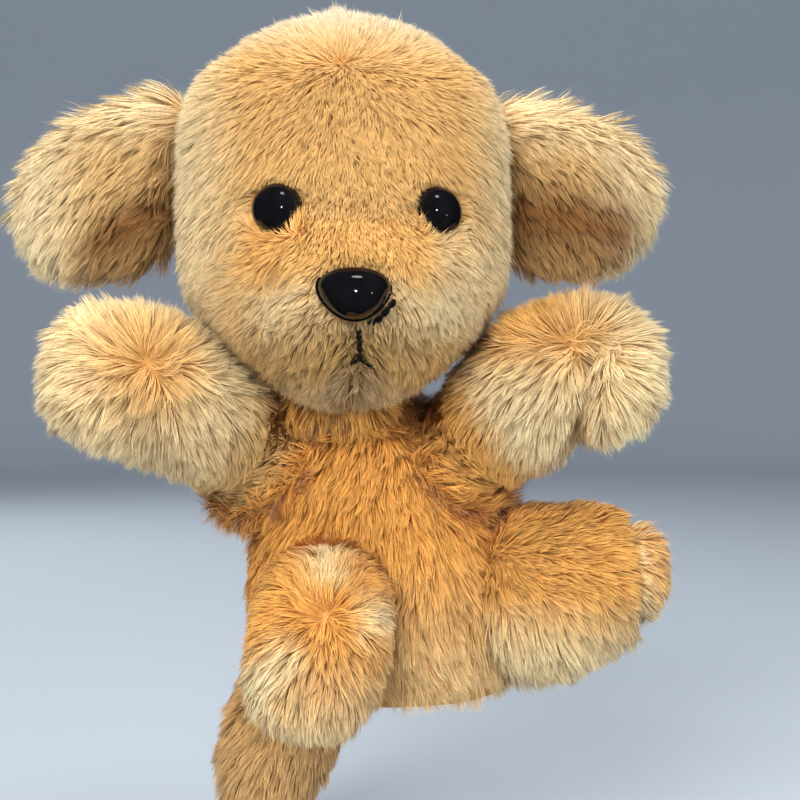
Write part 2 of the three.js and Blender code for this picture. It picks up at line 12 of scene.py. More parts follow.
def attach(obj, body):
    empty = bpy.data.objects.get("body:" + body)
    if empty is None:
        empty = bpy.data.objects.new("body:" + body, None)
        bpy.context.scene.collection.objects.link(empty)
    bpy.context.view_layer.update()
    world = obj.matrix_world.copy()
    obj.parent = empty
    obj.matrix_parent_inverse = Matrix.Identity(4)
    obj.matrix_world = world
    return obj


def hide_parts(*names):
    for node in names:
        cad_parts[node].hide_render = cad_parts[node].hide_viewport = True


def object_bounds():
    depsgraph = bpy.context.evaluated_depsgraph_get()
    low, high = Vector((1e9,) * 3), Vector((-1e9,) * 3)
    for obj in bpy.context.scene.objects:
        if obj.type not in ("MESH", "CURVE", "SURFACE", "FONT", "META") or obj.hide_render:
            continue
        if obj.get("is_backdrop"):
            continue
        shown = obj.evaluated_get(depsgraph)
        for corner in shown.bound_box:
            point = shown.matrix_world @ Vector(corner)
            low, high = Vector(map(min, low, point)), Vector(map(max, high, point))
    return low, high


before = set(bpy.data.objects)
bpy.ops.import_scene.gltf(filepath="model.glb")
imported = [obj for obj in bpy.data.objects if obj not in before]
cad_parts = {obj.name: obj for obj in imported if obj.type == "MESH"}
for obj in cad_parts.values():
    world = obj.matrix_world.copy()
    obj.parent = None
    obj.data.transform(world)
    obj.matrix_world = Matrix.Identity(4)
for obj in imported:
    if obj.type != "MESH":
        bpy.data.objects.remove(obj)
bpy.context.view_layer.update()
MM = 0.001

# ---------------------------------------------------------------- places shared with the CAD model
HEAD_CENTRE = np.array([-8.0, -8.0, 94.0])
HEAD_TURN = math.radians(8)
NECK = np.array([-9.0, 0.0, 60.0])
SHOULDER = {"left": np.array([14.0, -3.0, 46.0]), "right": np.array([-24.0, -3.0, 46.0])}
PAW = {"left": np.array([48.0, -24.0, 63.5]), "right": np.array([-57.5, -29.0, 63.0])}
ARM_WAY = {"left": (0.587, -0.522, 0.619), "right": (-0.566, -0.626, 0.536)}


def head_local(points):
    """Points of the row frame in the head's own frame, whose face looks along -Y."""
    c, s = math.cos(HEAD_TURN), math.sin(HEAD_TURN)
    d = points - HEAD_CENTRE
    return np.stack([c * d[:, 0] + s * d[:, 1], -s * d[:, 0] + c * d[:, 1], d[:, 2]], 1)


def from_head(vectors):
    """Directions of the head's own frame in the row frame."""
    c, s = math.cos(HEAD_TURN), math.sin(HEAD_TURN)
    x, y, z = vectors[:, 0], vectors[:, 1], vectors[:, 2]
    return np.stack([c * x - s * y, s * x + c * y, z], 1)


# ---------------------------------------------------------------- small helpers
def unit(v):
    return v / np.maximum(np.linalg.norm(v, axis=-1, keepdims=True), 1e-9)


def smooth(x, low, high):
    """0 below low and 1 above high, with a smooth rise between them."""
    t = np.clip((x - low) / (high - low), 0, 1)
    return t * t * (3 - 2 * t)


def mix(a, b, t):
    return a + (b - a) * t


def wander(points, size, seed):
    """A smooth field of three numbers from about -1 to 1 that changes over size millimetres."""
    rng = np.random.default_rng(seed)
    out = np.zeros((len(points), 3))
    for _ in range(5):
        way = unit(rng.normal(size=(3, 3)))
        phase = rng.uniform(0, 2 * math.pi, 3)
        out += np.sin(points @ way.T * (2 * math.pi / size) * rng.uniform(0.6, 1.5) + phase)
    return out / 3


def add_object(name, mesh, material):
    """A new object in the scene, with one material."""
    obj = bpy.data.objects.new(name, mesh)
    bpy.context.scene.collection.objects.link(obj)
    if material is not None:
        mesh.materials.append(material)
    return obj


def mesh_of(name, verts, faces):
    """A mesh from vertices in millimetres and an array or list of faces."""
    mesh = bpy.data.meshes.new(name)
    mesh.from_pydata([tuple(v) for v in np.asarray(verts) * MM], [], [tuple(f) for f in faces])
    mesh.update()
    return mesh


# ---------------------------------------------------------------- materials
def principled(name, colour, roughness, **inputs):
    material = bpy.data.materials.new(name)
    material.use_nodes = True
    shader = material.node_tree.nodes["Principled BSDF"]
    shader.inputs["Base Color"].default_value = (*colour, 1)
    shader.inputs["Roughness"].default_value = roughness
    for key, value in inputs.items():
        shader.inputs[key.replace("_", " ")].default_value = value
    return material


def node(material, kind, **inputs):
    made = material.node_tree.nodes.new(kind)
    for key, value in inputs.items():
        made.inputs[key].default_value = value
    return made


def wire(material, a, out, b, into):
    material.node_tree.links.new(a.outputs[out], b.inputs[into])


def tinted_noise(material, dark, light, scale, detail=4.0):
    """Drives the base colour from noise in object space, between two colours."""
    shader = material.node_tree.nodes["Principled BSDF"]
    place = node(material, "ShaderNodeTexCoord")
    noise = node(material, "ShaderNodeTexNoise", Scale=scale, Detail=detail)
    ramp = node(material, "ShaderNodeValToRGB")
    ramp.color_ramp.elements[0].position = 0.3
    ramp.color_ramp.elements[1].position = 0.7
    ramp.color_ramp.elements[0].color = (*dark, 1)
    ramp.color_ramp.elements[1].color = (*light, 1)
    wire(material, place, "Object", noise, "Vector")
    wire(material, noise, "Fac", ramp, "Fac")
    wire(material, ramp, "Color", shader, "Base Color")


def bumped(material, scale, distance, strength=0.6, kind="ShaderNodeTexNoise"):
    """Roughens the surface with a texture in object space."""
    shader = material.node_tree.nodes["Principled BSDF"]
    place = node(material, "ShaderNodeTexCoord")
    texture = node(material, kind, Scale=scale)
    bump = node(material, "ShaderNodeBump", Strength=strength, Distance=distance)
    wire(material, place, "Object", texture, "Vector")
    wire(material, texture, 0, bump, "Height")
    wire(material, bump, "Normal", shader, "Normal")


def fur_material():
    """Hair that takes its colour from the fur_colour attribute, with a little noise along it."""
    material = principled("plush_fur", (0.8, 0.5, 0.2), 0.7, Sheen_Weight=0.12, Sheen_Roughness=0.5,
                          Specular_IOR_Level=0.25)
    shader = material.node_tree.nodes["Principled BSDF"]
    colour = node(material, "ShaderNodeAttribute")
    colour.attribute_name = "fur_colour"
    place = node(material, "ShaderNodeTexCoord")
    noise = node(material, "ShaderNodeTexNoise", Scale=900.0, Detail=3.0)
    shade = node(material, "ShaderNodeMapRange")
    shade.inputs["From Min"].default_value = 0.3
    shade.inputs["From Max"].default_value = 0.7
    shade.inputs["To Min"].default_value = 0.86
    shade.inputs["To Max"].default_value = 1.08
    scale = node(material, "ShaderNodeVectorMath")
    scale.operation = "SCALE"
    wire(material, place, "Object", noise, "Vector")
    wire(material, noise, "Fac", shade, "Value")
    wire(material, colour, "Color", scale, 0)
    wire(material, shade, "Result", scale, "Scale")
    wire(material, scale, "Vector", shader, "Base Color")
    return material


FUR = fur_material()
# The backing cloth is dark orange-brown, partly as painted shade so that the gaps between hairs look deep.
CLOTH = principled("plush_backing", (0.5, 0.25, 0.07), 0.95, Specular_IOR_Level=0.1)
tinted_noise(CLOTH, (0.42, 0.2, 0.05), (0.58, 0.31, 0.1), 350.0)
bumped(CLOTH, 2600.0, 0.0002)
BLACK = principled("black_gloss", (0.004, 0.004, 0.005), 0.06, Specular_IOR_Level=0.35)
tinted_noise(BLACK, (0.003, 0.003, 0.004), (0.006, 0.006, 0.007), 300.0)
THREAD = principled("black_thread", (0.006, 0.006, 0.006), 0.8, Specular_IOR_Level=0.2)
tinted_noise(THREAD, (0.003, 0.003, 0.003), (0.014, 0.013, 0.012), 2500.0)
bumped(THREAD, 3000.0, 0.0001)
KNIT = principled("knit_lining", (0.7, 0.6, 0.42), 0.9, Sheen_Weight=0.2)
tinted_noise(KNIT, (0.6, 0.5, 0.33), (0.78, 0.68, 0.5), 500.0)
bumped(KNIT, 1400.0, 0.0002, 0.8, "ShaderNodeTexVoronoi")
PLASTIC = principled("white_plastic", (0.75, 0.75, 0.72), 0.45)
tinted_noise(PLASTIC, (0.7, 0.7, 0.67), (0.8, 0.8, 0.77), 200.0)
GOLD_THREAD = principled("gold_thread", (0.55, 0.33, 0.13), 0.75, Sheen_Weight=0.3)
tinted_noise(GOLD_THREAD, (0.42, 0.24, 0.08), (0.66, 0.42, 0.18), 2200.0)

# Root and tip colours of the fur, in linear light. Roots are darker than tips, partly as painted shade deep
# in the pile.
GOLD = np.array([[0.59, 0.26, 0.057], [0.77, 0.47, 0.155]])
CREAM = np.array([[0.76, 0.51, 0.22], [0.91, 0.74, 0.44]])
ORANGE = np.array([[0.58, 0.20, 0.028], [0.88, 0.43, 0.09]])
# Beige of the muzzle: partly its own colour, partly painted shade under the snout.
BEIGE_IN_SHADE = np.array([[0.22, 0.10, 0.025], [0.74, 0.45, 0.155]])
# Brown is painted shade, for the ears' hollows and the groove of the palm seam.
SHADE_BROWN = np.array([[0.13, 0.045, 0.008], [0.29, 0.12, 0.033]])
# Tan is golden fur partly darkened by painted shade, for the ears' lower lobes and the tail.
TAN_IN_SHADE = np.array([[0.34, 0.16, 0.045], [0.66, 0.40, 0.16]])


# ---------------------------------------------------------------- cloth under the fur
def remeshed(name, nodes, voxel):
    """One closed mesh, in metres, round the named CAD nodes."""
    verts, faces = [], []
    for n in nodes:
        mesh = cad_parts[n].data
        start = len(verts)
        verts += [v.co[:] for v in mesh.vertices]
        faces += [[start + i for i in p.vertices] for p in mesh.polygons]
    raw = bpy.data.meshes.new(name)
    raw.from_pydata(verts, [], faces)
    obj = bpy.data.objects.new(name, raw)
    bpy.context.scene.collection.objects.link(obj)
    remesh = obj.modifiers.new("remesh", "REMESH")
    remesh.mode = "VOXEL"
    remesh.voxel_size = voxel * MM
    return applied(obj)


def applied(obj):
    """The object's evaluated mesh, after which the object is gone."""
    made = bpy.data.meshes.new_from_object(obj.evaluated_get(bpy.context.evaluated_depsgraph_get()))
    raw = obj.data
    bpy.data.objects.remove(obj)
    bpy.data.meshes.remove(raw)
    return made


def points_of(mesh):
    """A mesh's vertices in millimetres."""
    co = np.empty(len(mesh.vertices) * 3)
    mesh.vertices.foreach_get("co", co)
    return co.reshape(-1, 3) / MM


def set_points(mesh, points):
    mesh.vertices.foreach_set("co", (points * MM).ravel())
    mesh.update()


def relax(mesh, rounds, strength=0.5):
    """Evens out a mesh by moving each vertex towards its neighbours' mean."""
    co = points_of(mesh)
    edges = np.empty(len(mesh.edges) * 2, int)
    mesh.edges.foreach_get("vertices", edges)
    a, b = edges.reshape(-1, 2).T
    valence = np.bincount(edges, minlength=len(co))[:, None]
    for _ in range(rounds):
        total = np.zeros_like(co)
        for k in range(3):
            total[:, k] = np.bincount(a, co[b, k], len(co)) + np.bincount(b, co[a, k], len(co))
        co += strength * (total / valence - co)
    set_points(mesh, co)


def triangles_of(mesh):
    """(vertices, triangles, vertex normals) of a mesh, in millimetres."""
    mesh.calc_loop_triangles()
    tris = np.empty(len(mesh.loop_triangles) * 3, int)
    mesh.loop_triangles.foreach_get("vertices", tris)
    normals = np.empty(len(mesh.vertices) * 3)
    mesh.vertices.foreach_get("normal", normals)
    return points_of(mesh), tris.reshape(-1, 3), normals.reshape(-1, 3)


SIM_SCALE = 10  # the cloth is simulated at the size of a cushion
PUFF_FRAMES = 14
PUFF_CAP = 1.6  # mm


def puffed(name, mesh, held, pressure=4.0):
    """The mesh blown up by a cloth simulation, held in place at its seams."""
    rest = points_of(mesh)
    set_points(mesh, rest * SIM_SCALE)
    obj = bpy.data.objects.new(name, mesh)
    bpy.context.scene.collection.objects.link(obj)
    group = obj.vertex_groups.new(name="held")
    for i in np.flatnonzero(held(rest) > 0):
        group.add([int(i)], float(held(rest[i : i + 1])[0]), "REPLACE")
    cloth = obj.modifiers.new("cloth", "CLOTH")
    cloth.settings.use_pressure = True
    cloth.settings.uniform_pressure_force = pressure
    cloth.settings.vertex_group_mass = "held"
    cloth.settings.effector_weights.gravity = 0
    cloth.settings.quality = 4
    scene = bpy.context.scene
    for number in range(1, PUFF_FRAMES + 1):
        scene.frame_set(number)
    swollen = applied(obj)
    scene.frame_set(1)
    move = points_of(swollen) / SIM_SCALE - rest
    far = np.linalg.norm(move, axis=1, keepdims=True)
    set_points(swollen, rest + move * np.minimum(1, PUFF_CAP / np.maximum(far, 1e-6)))
    return swollen


def subdivided(name, mesh):
    """The mesh with each face split in four."""
    obj = bpy.data.objects.new(name, mesh)
    bpy.context.scene.collection.objects.link(obj)
    finer = obj.modifiers.new("finer", "SUBSURF")
    finer.levels = finer.render_levels = 1
    return applied(obj)


def cloth_piece(name, body, mesh, material, nodes):
    """A padded cloth piece on a body, which stands for the given CAD nodes."""
    mesh.polygons.foreach_set("use_smooth", np.ones(len(mesh.polygons), bool))
    obj = add_object(name, mesh, material)
    if nodes:
        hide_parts(*nodes)
    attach(obj, body)


# ---------------------------------------------------------------- fur
# A hair is a ribbon of two quads and a triangle: three pairs of vertices and a tip.
STEPS = np.array([0.0, 0.34, 0.68, 1.0])
STEP_OF_VERTEX = STEPS[[0, 0, 1, 1, 2, 2, 3]]
HAIR_VERTS, HAIR_FACES, HAIR_CORNERS = 7, 3, 11
HAIR_WIDTH = 0.13
WIDTH_AT_STEP = [0.85, 1.0, 0.72]
WISP_AREA = 0.45  # mm2 of skin to one wisp
WISPS_IN_TUFT = 8
STRAY_SHARE = 0.05
MOST_HAIRS = 39000  # in one piece


def scatter(skin, density, rng, weight):
    """Points on a skin, with their normals, at density per square millimetre times weight(points)."""
    verts, tris, normals = skin
    a, b, c = (verts[tris[:, i]] for i in range(3))
    area = np.linalg.norm(np.cross(b - a, c - a), axis=1) / 2
    chance = area * weight((a + b + c) / 3, unit(normals[tris].mean(1)))
    count = int(density * chance.sum())
    pick = np.searchsorted(np.cumsum(chance) / chance.sum(), rng.random(count))
    u, v = rng.random(count), rng.random(count)
    flip = u + v > 1
    u[flip], v[flip] = 1 - u[flip], 1 - v[flip]
    share = np.stack([1 - u - v, u, v], 1)[:, :, None]
    corners = tris[np.minimum(pick, len(tris) - 1)]
    return (verts[corners] * share).sum(1), unit((normals[corners] * share).sum(1))


def comb(normals, flow):
    """A flow direction laid into the surface."""
    return unit(flow - normals * (flow * normals).sum(1, keepdims=True))


def nearest_of(roots, chosen):
    """For each root, the index of the nearest of the chosen roots."""
    tree = KDTree(len(chosen))
    for i, m in enumerate(chosen):
        tree.insert(roots[m], i)
    tree.balance()
    return chosen[np.array([tree.find(p)[1] for p in roots])]


def gather(line, middle, grip):
    """Draws each hair towards its tuft's middle hair, more so towards the tip."""
    for k in range(1, len(STEPS)):
        line[:, k] += (line[middle, k] - line[:, k]) * (grip * STEPS[k] ** 1.4)[:, None]


def hair_lines(roots, normals, look, density, rng, seed):
    """Each hair's points, the middle hair of its wisp and the middle hair of its tuft."""
    count = len(roots)
    bend = wander(roots, 11.0, seed + 1) * 0.24 + wander(roots, 3.5, seed + 2) * 0.14
    flow = comb(normals, look["flow"] + bend + rng.normal(size=(count, 3)) * 0.1)
    length = look["length"] * rng.uniform(0.7, 1.12, count)
    lean = np.radians(look["lean"] + rng.normal(size=count) * 5)
    # Each hair stands at its root and lies down towards its tip.
    line = np.zeros((count, len(STEPS), 3))
    line[:, 0] = roots
    for k in range(1, len(STEPS)):
        angle = lean * (0.72 + 0.4 * (STEPS[k - 1] + STEPS[k]) / 2)
        way = normals * np.cos(angle)[:, None] + flow * np.sin(angle)[:, None]
        line[:, k] = line[:, k - 1] + way * (length * (STEPS[k] - STEPS[k - 1]))[:, None]
    # Fine wisps, and tufts made of several wisps
    wisps = rng.choice(count, max(1, int(count / (density * WISP_AREA))), replace=False)
    tufts = rng.choice(wisps, max(1, len(wisps) // WISPS_IN_TUFT), replace=False)
    wisp, tuft = nearest_of(roots, wisps), nearest_of(roots, tufts)
    across = np.cross(flow, normals) * (length * rng.normal(size=count)[wisp] * 0.13)[:, None]
    line += across[:, None] * (STEPS**2)[None, :, None]
    gather(line, tuft, look["grip"] * 0.75 * rng.uniform(0.6, 1.0, count)[wisp])
    gather(line, wisp, (0.25 + 0.5 * look["grip"]) * rng.uniform(0.4, 1.0, count))
    stray = rng.random(count) < STRAY_SHARE
    line[stray, 1:] += rng.normal(size=(stray.sum(), 1, 3)) * 0.6 * STEPS[1:, None]
    return line, wisp, tuft


def hair_ribbons(line, normals, rng):
    """The vertices of each hair's ribbon and the soft normals that they are lit with."""
    count = len(line)
    along = unit(line[:, -1] - line[:, 0])
    side = unit(np.cross(along, normals))
    up = np.cross(side, along)
    roll = rng.uniform(-1.2, 1.2, count)[:, None]
    side = side * np.cos(roll) + up * np.sin(roll)
    wide = HAIR_WIDTH * rng.uniform(0.7, 1.3, count)[:, None]
    verts = np.zeros((count, HAIR_VERTS, 3))
    for k, share in enumerate(WIDTH_AT_STEP):
        verts[:, 2 * k] = line[:, k] - side * wide * share / 2
        verts[:, 2 * k + 1] = line[:, k] + side * wide * share / 2
    verts[:, -1] = line[:, -1]

    facing = unit(np.cross(side, along))
    facing *= np.where((facing * normals).sum(1, keepdims=True) < 0, -1, 1)
    edge = np.array([-1, 1, -1, 1, -1, 1, 0])[None, :, None]
    soft = normals[:, None] + facing[:, None] * 0.3 + side[:, None] * 0.3 * edge
    return verts, unit(soft + along[:, None] * 0.15 * STEP_OF_VERTEX[None, :, None])


def hair_colours(roots, wisp, tuft, look, rng, seed):
    """The colour of each vertex: darker at the root, partly as painted shade deep in the pile, and varied by
    hair, wisp, tuft and place.
    """
    count = len(roots)
    shade = 0.07 * rng.normal(size=count) + 0.09 * rng.normal(size=count)[wisp]
    shade += 0.05 * rng.normal(size=count)[tuft] + 0.05 * wander(roots, 16.0, seed + 3)[:, 0]
    shade = 1 + shade * look.get("vary", 1.3)
    shade = np.clip(shade, 0.6, 1.35)[:, None, None]
    along_hair = np.clip(STEP_OF_VERTEX[None] ** 1.15 * look["gain"][:, None], 0, 1)[:, :, None]
    colours = np.ones((count, HAIR_VERTS, 4), np.float32)
    colours[:, :, :3] = mix(look["root"][:, None], look["tip"][:, None], along_hair) * shade
    return np.clip(colours, 0, 1)


def fur(name, body, skin, spec, density, seed):
    """The fur on one skin. spec(points, normals) gives each hair's flow, length, lean and colours."""
    rng = np.random.default_rng(seed)
    roots, normals = scatter(skin, density, rng, lambda p, n: spec(p, n)["weight"])
    look = spec(roots, normals)
    line, wisp, tuft = hair_lines(roots, normals, look, density, rng, seed)
    verts, soft = hair_ribbons(line, normals, rng)
    colours = hair_colours(roots, wisp, tuft, look, rng, seed)
    for part, start in enumerate(range(0, len(roots), MOST_HAIRS)):
        these = slice(start, start + MOST_HAIRS)
        mesh = ribbon_mesh(name, verts[these], colours[these], soft[these])
        obj = add_object(f"{name}_{part + 1}", mesh, FUR)
        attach(obj, body)


def ribbon_mesh(name, verts, colours, normals):
    """One mesh of many hairs, with their colours and normals."""
    count = len(verts)
    mesh = bpy.data.meshes.new(name)
    corners = np.array([0, 1, 3, 2] + [2, 3, 5, 4] + [4, 5, 6])
    loops = ((np.arange(count) * HAIR_VERTS)[:, None] + corners).ravel()
    starts = (np.arange(count) * HAIR_CORNERS)[:, None] + np.array([0, 4, 8])
    mesh.vertices.add(count * HAIR_VERTS)
    mesh.vertices.foreach_set("co", (verts * MM).astype(np.float32).ravel())
    mesh.loops.add(len(loops))
    mesh.loops.foreach_set("vertex_index", loops.astype(np.int32))
    mesh.polygons.add(count * HAIR_FACES)
    mesh.polygons.foreach_set("loop_start", starts.ravel().astype(np.int32))
    mesh.update(calc_edges=True)
    colour = mesh.attributes.new("fur_colour", "FLOAT_COLOR", "POINT")
    colour.data.foreach_set("color", colours.ravel())
    mesh.polygons.foreach_set("use_smooth", np.ones(count * HAIR_FACES, bool))
    soft = mesh.attributes.new("custom_normal", "FLOAT_VECTOR", "POINT")
    soft.data.foreach_set("vector", normals.astype(np.float32).ravel())
    return mesh


# ---------------------------------------------------------------- how the fur lies on each part
def palette(first, second, amount):
    """Root and tip colours between two pairs of them."""
    a = amount[:, None]
    return mix(first[0], second[0], a), mix(first[1], second[1], a)


# Places on the face, in the head's own frame
EYE_X, EYE_Z = 14.0, -3.1
NOSE_X, NOSE_Z = -1.4, -18.1
WHORL = np.array([-1.2, -22.0, 25.5])


def head_spec(points, normals):
    p = head_local(points)
    n = head_local(normals + HEAD_CENTRE)
    x, y, z = p.T
    front = smooth(-y, 2, 14)
    # Down and outwards from a whorl at the top of the forehead, then outwards from the bridge, where the
    # fur is short and stands up
    from_whorl = unit((p - WHORL) * np.array([0.5, 1.0, 1.0]))
    from_bridge = unit((p - np.array([0.0, -27.0, -5.0])) * np.array([1.0, 1.0, 0.8]))
    low = front * (1 - smooth(z, -16.0, -5.0))
    cheek = smooth(np.abs(x), 13, 22)
    flow = mix(from_whorl, from_bridge, low[:, None])
    flow[:, 2] -= 0.3 * low * smooth(-z, 14, 24)
    bridge = front * np.exp(-(((z + 8.5) / 5.0) ** 2)) * (1 - smooth(np.abs(x), 9, 16))
    # The mouth's line parts the fur.
    mouth = front * np.exp(-((x / 3.0) ** 2)) * smooth(-z, 23, 25) * (1 - smooth(-z, 31, 33))
    flow[:, 0] += np.sign(x) * 1.4 * mouth
    over_eye = np.zeros(len(p))
    for sign in (-1, 1):
        dx, dz = x - sign * EYE_X, z - EYE_Z
        away = np.stack([dx, np.zeros_like(dx), dz], 1)
        near = np.exp(-((np.hypot(dx, dz) / 6.5) ** 2)) * front * smooth(dz, -2.5, 1.0)
        flow = mix(flow, unit(away), (0.9 * near)[:, None])
        # Below each eye the fur stands up over its edge.
        below = np.exp(-(((np.hypot(dx, dz) - 4.8) / 1.2) ** 2)) * front * smooth(-dz, 0.5, 3.0)
        flow[:, 2] += 1.6 * below
        over_eye = np.maximum(over_eye, below)
    eye = np.minimum(np.hypot(x - EYE_X, z - EYE_Z), np.hypot(x + EYE_X, z - EYE_Z))
    nose = np.hypot((x - NOSE_X) / 7.2, (z - NOSE_Z) / 5.8)
    length = 4.6 + 1.4 * smooth(z, 24, 34) + 1.2 * smooth(np.abs(x), 12, 24)
    length = mix(length, 3.0, front * smooth(9 - np.abs(z + 8), 0, 6) * (1 - smooth(np.abs(x), 12, 20)))
    length = mix(length, 2.3, bridge)
    length = mix(length, 6.2, front * smooth(-z, 20, 29))
    length += 1.6 * smooth(-z, 27, 33) + 0.9 * smooth(np.abs(x), 19, 27) * smooth(-y, -6, 4)
    length += 3.5 * np.exp(-((np.hypot(x + 1.5, z - 34) / 3) ** 2)) * (1 - smooth(np.abs(y), 6, 12))
    length = mix(length, 2.4, front * np.exp(-(((eye - 4.2) / 2.2) ** 2)))
    length = mix(length, 3.2, over_eye)
    length = mix(length, 1.9, front * (1 - smooth(nose, 0.9, 1.6)))
    length = mix(length, 3.2, mouth)
    length = mix(length, 5.5, smooth(y, 0, 10))
    muzzle = front * smooth(-z, 18, 26) * (1 - 0.5 * cheek)
    snout = front * smooth(-z, 13, 18) * (1 - smooth(np.abs(x), 13, 20))
    # The sides and the crown are pale, and the puppy's left cheek is paler than its right.
    pale_cheek = 0.7 * smooth(x, 8, 16) * smooth(-z, 2, 12)
    rim = np.clip(smooth(np.abs(x), 15, 27) + smooth(z, 22, 34) + pale_cheek, 0, 1)
    warm = front * smooth(-z, 2, 7) * (1 - smooth(-z, 11, 16)) * (1 - smooth(np.abs(x + 3), 12, 18))
    rim_of_nose = front * (1 - smooth(nose, 1.0, 1.5))
    root, tip = palette(GOLD, CREAM, np.clip(0.12 + 0.85 * rim + 0.6 * snout, 0, 1))
    # The crown's tips are darker and less yellow, partly as painted shade on the top of the head.
    tip = mix(tip, tip * [0.8, 0.87, 1.1], smooth(z, 22, 32)[:, None])
    # Below the snout the fur turns beige, partly as painted shade under the muzzle.
    root, tip = mix(root, BEIGE_IN_SHADE[0], muzzle[:, None]), mix(tip, BEIGE_IN_SHADE[1], muzzle[:, None])
    tip = mix(tip, CREAM[1], (0.6 * front * smooth(-z, 27, 33))[:, None])
    root, tip = mix(root, ORANGE[0], 0.4 * warm[:, None]), mix(tip, ORANGE[1], 0.4 * warm[:, None])
    outside = (p * n).sum(1) > 0
    clear_neck = np.hypot(points[:, 0] - NECK[0], points[:, 1] - NECK[1]) > 10.2
    keep = outside & ((eye > 3.9) | (y > -10)) & ((nose > 0.72) | (y > -10))
    keep &= clear_neck | (p[:, 2] > -20)
    lean = 65 - 13 * muzzle - 25 * rim_of_nose - 6 * rim - 22 * over_eye
    grip = 0.3 + 0.5 * np.maximum(muzzle, snout) + 0.25 * rim
    return {
        "flow": from_head(flow), "length": length, "lean": lean,
        "root": root, "tip": tip, "gain": 1.0 + 1.5 * bridge, "grip": grip,
        "weight": keep * (1 + 0.5 * front), "vary": 0.6 + 2.6 * muzzle + 0.2 * rim, "slot": "golden_plush",
    }


def ear_spec(side):
    sign = 1 if side == "left" else -1

    def spec(points, normals):
        p = head_local(points)
        n = head_local(normals + HEAD_CENTRE)
        out, z = sign * p[:, 0] - 29, p[:, 2]
        flow = np.stack([np.full(len(p), sign * 0.9), np.zeros(len(p)), -0.6 - 0.035 * out], 1)
        flow[:, 2] += 0.6 * smooth(z, 14, 25) - 1.5 * smooth(-z, -14, 2) * smooth(-p[:, 1], -8, 0)
        # Painted shade: a dark brown band runs outwards across the front for the shaded hollow, with a tan
        # lobe hanging below it, paler than the band and partly painted shade too.
        inside = (n[:, 1] < 0) * 1.0
        if side == "left":
            fold, deep, reach, gain = 4.5 - 0.1 * out, 7.0, 24, 1.15
        else:
            fold, deep, reach, gain = 5.3 - 0.5 * out, 5.5, 14, 1.4
        painted_hollow_shade = np.exp(-(((z - fold) / deep) ** 2)) * (1 - smooth(out, reach, reach + 10)) * inside
        lobe = smooth(fold - z, 1, 6) * (1 - smooth(out, 20, 30)) * (1 - smooth(-z, 10, 15)) * inside
        edge = np.clip(smooth(out, 14, 28) + smooth(z, 12, 22) + 0.5 * smooth(-z, 6, 14), 0, 1)
        root, tip = palette(GOLD, CREAM, np.clip(0.25 + 0.8 * edge, 0, 1))
        root, tip = mix(root, TAN_IN_SHADE[0], 0.8 * lobe[:, None]), mix(tip, TAN_IN_SHADE[1], 0.8 * lobe[:, None])
        root = mix(root, SHADE_BROWN[0], painted_hollow_shade[:, None])
        tip = mix(tip, SHADE_BROWN[1], 0.95 * painted_hollow_shade[:, None])
        return {
            "flow": from_head(flow), "length": 6.6 + 1.4 * edge, "lean": np.full(len(p), 60.0),
            "root": root, "tip": tip, "gain": np.full(len(p), gain), "grip": np.full(len(p), 0.75),
            "weight": np.ones(len(p)), "vary": 0.65, "slot": "cream_plush",
        }

    return spec


def out_of_body(points, normals):
    """Where a surface faces away from the middle of the body."""
    y, z = points[:, 1], points[:, 2]
    middle_line = np.stack([-1 - 8 * smooth(z, 20, 60), 0 * y, z], 1)
    return ((points - middle_line) * normals).sum(1) > 0


def body_spec(points, normals):
    x, y, z = points.T
    flow = np.stack([0.012 * x, 0.01 * y, -np.ones(len(x))], 1)
    light = smooth(34 - z, 0, 26) * smooth(x, -8, 6)
    root, tip = palette(ORANGE, GOLD, 0.25 + 0.75 * light)
    tip = mix(tip, CREAM[1], (0.5 * light)[:, None])
    keep = out_of_body(points, normals) & (z > 2.0)
    for shoulder in SHOULDER.values():
        keep &= np.linalg.norm(points - shoulder, axis=1) > 11.8
    return {
        "flow": flow, "length": 6.6 + 1.2 * light, "lean": 66 - 22 * smooth(z, 48, 56),
        "root": root, "tip": tip, "gain": np.full(len(x), 1.0), "grip": np.full(len(x), 0.8),
        "weight": keep * 1.0, "slot": "golden_plush",
    }


def armhole_spec(points, normals):
    look = body_spec(points, normals)
    look["weight"] = out_of_body(points, normals) * 1.0
    return look


PAW_WHORL = {"left": np.array([35.0, -33.0, 68.0]), "right": np.array([-39.5, -34.0, 66.0])}
PALM_SEAM_X = 36.5


def palm_seam(points):
    """How near a point is to the seam down the palm of the left paw, which parts it in two lobes."""
    x, y, z = points.T
    aside = PALM_SEAM_X + 0.15 * (z - 62) - x
    deep = (0.5 + 0.5 * smooth(66 - z, 0, 10)) * (1 - smooth(z, 66, 71))
    return np.exp(-((aside / 2.3) ** 2)) * smooth(-y, 12, 19) * deep


